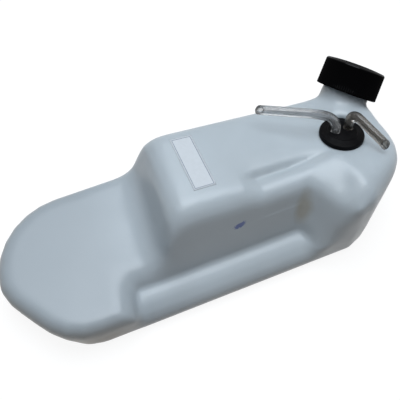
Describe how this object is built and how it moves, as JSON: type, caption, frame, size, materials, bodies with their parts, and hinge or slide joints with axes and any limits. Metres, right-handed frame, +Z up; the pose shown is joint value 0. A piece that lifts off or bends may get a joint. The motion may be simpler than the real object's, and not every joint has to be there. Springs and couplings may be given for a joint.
{
  "type": "fuel tank",
  "caption": "Blow-moulded fuel tank with a low nose, side recess, slanted filler neck with screw cap, and a hose grommet feeding a weighted filter.",
  "frame": {"origin": "middle of the flat base, on the surface that the tank stands on", "axes": "+Z up, -X towards the low nose, +X towards the filler neck, -Y towards the side with the recess"},
  "size_m": [0.2768, 0.1141, 0.0724],
  "materials": {
    "shell": "blow-moulded natural polyethylene, satin",
    "sticker": "bare paper label",
    "hose": "clear vinyl, a little yellowed",
    "cap": "glossy black polypropylene",
    "rubber": "black nitrile rubber",
    "core": "off-white nylon",
    "felt": "wool felt",
    "metal": "plated steel"
  },
  "bodies": {
    "shell": {"tank_body": "shell", "roof_sticker": "sticker", "supply_hose": "hose", "return_hose": "hose", "return_tail": "hose", "hose_grommet": "rubber"},
    "gasket": {"cap_gasket": "rubber"},
    "cap": {"filler_cap": "cap", "vent_valve": "rubber"},
    "pickup": {"pickup_hose": "hose", "filter_core": "core", "filter_felt": "felt", "filter_weight": "metal", "hose_clip": "metal"}
  },
  "joints": [
    {"name": "cap_lift", "type": "slide", "parent": "shell", "child": "gasket", "axis": [0.552, 0.4798, 0.682], "range_m": [0, 0.0142]},
    {"name": "cap_turn", "type": "hinge", "parent": "gasket", "child": "cap", "pos_m": [0.1197, 0.04, 0.046], "axis": [0.552, 0.4798, 0.682], "range_deg": [0, 1260]},
    {"name": "pickup_swing", "type": "hinge", "parent": "shell", "child": "pickup", "pos_m": [0.09267, 0.00816, 0.05697], "axis": [0.1323, 0.1888, 0.9731], "range_deg": [0, 40]}
  ],
  "couplings": [
    {"joint": "cap_lift", "follows": "cap_turn", "m_per_rad": 0.00063662}
  ]
}
